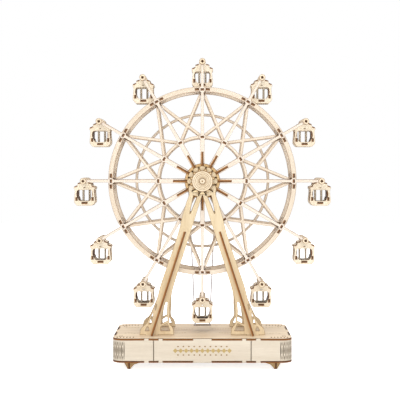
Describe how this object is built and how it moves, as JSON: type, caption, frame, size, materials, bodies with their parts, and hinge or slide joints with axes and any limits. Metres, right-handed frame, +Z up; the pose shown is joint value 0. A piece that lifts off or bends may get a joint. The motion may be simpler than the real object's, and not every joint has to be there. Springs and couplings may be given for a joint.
{
  "type": "hand-cranked ferris wheel toy",
  "caption": "Hand-cranked ferris wheel toy in laser-cut plywood: gondolas between two spoked wheels on A-frames, driven by a rubber belt from a crank in the hollow base.",
  "frame": {"origin": "on the table under the middle of the toy's overall depth, on its left-right middle line", "axes": "+Z up, +X to the right seen from the front, +Y to the back, where the crank is"},
  "size_m": [0.2944, 0.142, 0.3489],
  "materials": {
    "plywood": "raw laser-cut sheet, scorched edges",
    "rubber": "matt"
  },
  "bodies": {
    "root": {"base_bottom_plate": "plywood", "base_top_plate": "plywood", "base_front_panel": "plywood", "base_rear_panel": "plywood", "base_left_wall": "plywood", "base_right_wall": "plywood", "front_frame": "plywood", "rear_frame": "plywood", "front_left_rib": "plywood", "front_right_rib": "plywood", "rear_left_rib": "plywood", "rear_right_rib": "plywood", "drive_belt": "rubber", "crank_bracket": "plywood"},
    "wheel": {"spoke_ladder_01": "plywood", "spoke_ladder_02": "plywood", "spoke_ladder_03": "plywood", "spoke_ladder_04": "plywood", "spoke_ladder_05": "plywood", "spoke_ladder_06": "plywood", "spoke_ladder_07": "plywood", "spoke_ladder_08": "plywood", "spoke_ladder_09": "plywood", "spoke_ladder_10": "plywood", "spoke_ladder_11": "plywood", "spoke_ladder_12": "plywood", "wheel_sector_01": "plywood", "wheel_sector_02": "plywood", "wheel_sector_03": "plywood", "wheel_sector_04": "plywood", "wheel_sector_05": "plywood", "wheel_sector_06": "plywood", "wheel_sector_07": "plywood", "wheel_sector_08": "plywood", "wheel_sector_09": "plywood", "wheel_sector_10": "plywood", "wheel_sector_11": "plywood", "wheel_sector_12": "plywood", "rear_middle_ring": "plywood", "front_hub_disc": "plywood", "rear_hub_disc": "plywood", "axle": "plywood", "axle_star": "plywood", "wheel_pulley": "plywood"},
    "crank": {"crank_shaft": "plywood", "crank_pulley": "plywood", "crank_arm": "plywood", "crank_knob": "plywood"},
    "car_01": {"gondola_01": "plywood"},
    "car_02": {"gondola_02": "plywood"},
    "car_03": {"gondola_03": "plywood"},
    "car_04": {"gondola_04": "plywood"},
    "car_05": {"gondola_05": "plywood"},
    "car_06": {"gondola_06": "plywood"},
    "car_07": {"gondola_07": "plywood"},
    "car_08": {"gondola_08": "plywood"},
    "car_09": {"gondola_09": "plywood"},
    "car_10": {"gondola_10": "plywood"},
    "car_11": {"gondola_11": "plywood"},
    "car_12": {"gondola_12": "plywood"}
  },
  "joints": [
    {"name": "wheel_spin", "type": "hinge", "parent": "root", "child": "wheel", "pos_m": [0, -0.015, 0.21], "axis": [0, 1, 0], "continuous": true},
    {"name": "crank_turn", "type": "hinge", "parent": "root", "child": "crank", "pos_m": [0, 0.03, 0.0225], "axis": [0, 1, 0], "continuous": true},
    {"name": "gondola_01_swing", "type": "hinge", "parent": "wheel", "child": "car_01", "pos_m": [0, -0.015, 0.345], "axis": [0, 1, 0], "continuous": true},
    {"name": "gondola_02_swing", "type": "hinge", "parent": "wheel", "child": "car_02", "pos_m": [0.0675, -0.015, 0.32691], "axis": [0, 1, 0], "continuous": true},
    {"name": "gondola_03_swing", "type": "hinge", "parent": "wheel", "child": "car_03", "pos_m": [0.11691, -0.015, 0.2775], "axis": [0, 1, 0], "continuous": true},
    {"name": "gondola_04_swing", "type": "hinge", "parent": "wheel", "child": "car_04", "pos_m": [0.135, -0.015, 0.21], "axis": [0, 1, 0], "continuous": true},
    {"name": "gondola_05_swing", "type": "hinge", "parent": "wheel", "child": "car_05", "pos_m": [0.11691, -0.015, 0.1425], "axis": [0, 1, 0], "continuous": true},
    {"name": "gondola_06_swing", "type": "hinge", "parent": "wheel", "child": "car_06", "pos_m": [0.0675, -0.015, 0.09309], "axis": [0, 1, 0], "continuous": true},
    {"name": "gondola_07_swing", "type": "hinge", "parent": "wheel", "child": "car_07", "pos_m": [0, -0.015, 0.075], "axis": [0, 1, 0], "continuous": true},
    {"name": "gondola_08_swing", "type": "hinge", "parent": "wheel", "child": "car_08", "pos_m": [-0.0675, -0.015, 0.09309], "axis": [0, 1, 0], "continuous": true},
    {"name": "gondola_09_swing", "type": "hinge", "parent": "wheel", "child": "car_09", "pos_m": [-0.11691, -0.015, 0.1425], "axis": [0, 1, 0], "continuous": true},
    {"name": "gondola_10_swing", "type": "hinge", "parent": "wheel", "child": "car_10", "pos_m": [-0.135, -0.015, 0.21], "axis": [0, 1, 0], "continuous": true},
    {"name": "gondola_11_swing", "type": "hinge", "parent": "wheel", "child": "car_11", "pos_m": [-0.11691, -0.015, 0.2775], "axis": [0, 1, 0], "continuous": true},
    {"name": "gondola_12_swing", "type": "hinge", "parent": "wheel", "child": "car_12", "pos_m": [-0.0675, -0.015, 0.32691], "axis": [0, 1, 0], "continuous": true}
  ],
  "couplings": [
    {"joint": "crank_turn", "follows": "wheel_spin", "ratio": 2.068},
    {"joint": "gondola_01_swing", "follows": "wheel_spin", "ratio": -1},
    {"joint": "gondola_02_swing", "follows": "wheel_spin", "ratio": -1},
    {"joint": "gondola_03_swing", "follows": "wheel_spin", "ratio": -1},
    {"joint": "gondola_04_swing", "follows": "wheel_spin", "ratio": -1},
    {"joint": "gondola_05_swing", "follows": "wheel_spin", "ratio": -1},
    {"joint": "gondola_06_swing", "follows": "wheel_spin", "ratio": -1},
    {"joint": "gondola_07_swing", "follows": "wheel_spin", "ratio": -1},
    {"joint": "gondola_08_swing", "follows": "wheel_spin", "ratio": -1},
    {"joint": "gondola_09_swing", "follows": "wheel_spin", "ratio": -1},
    {"joint": "gondola_10_swing", "follows": "wheel_spin", "ratio": -1},
    {"joint": "gondola_11_swing", "follows": "wheel_spin", "ratio": -1},
    {"joint": "gondola_12_swing", "follows": "wheel_spin", "ratio": -1}
  ]
}
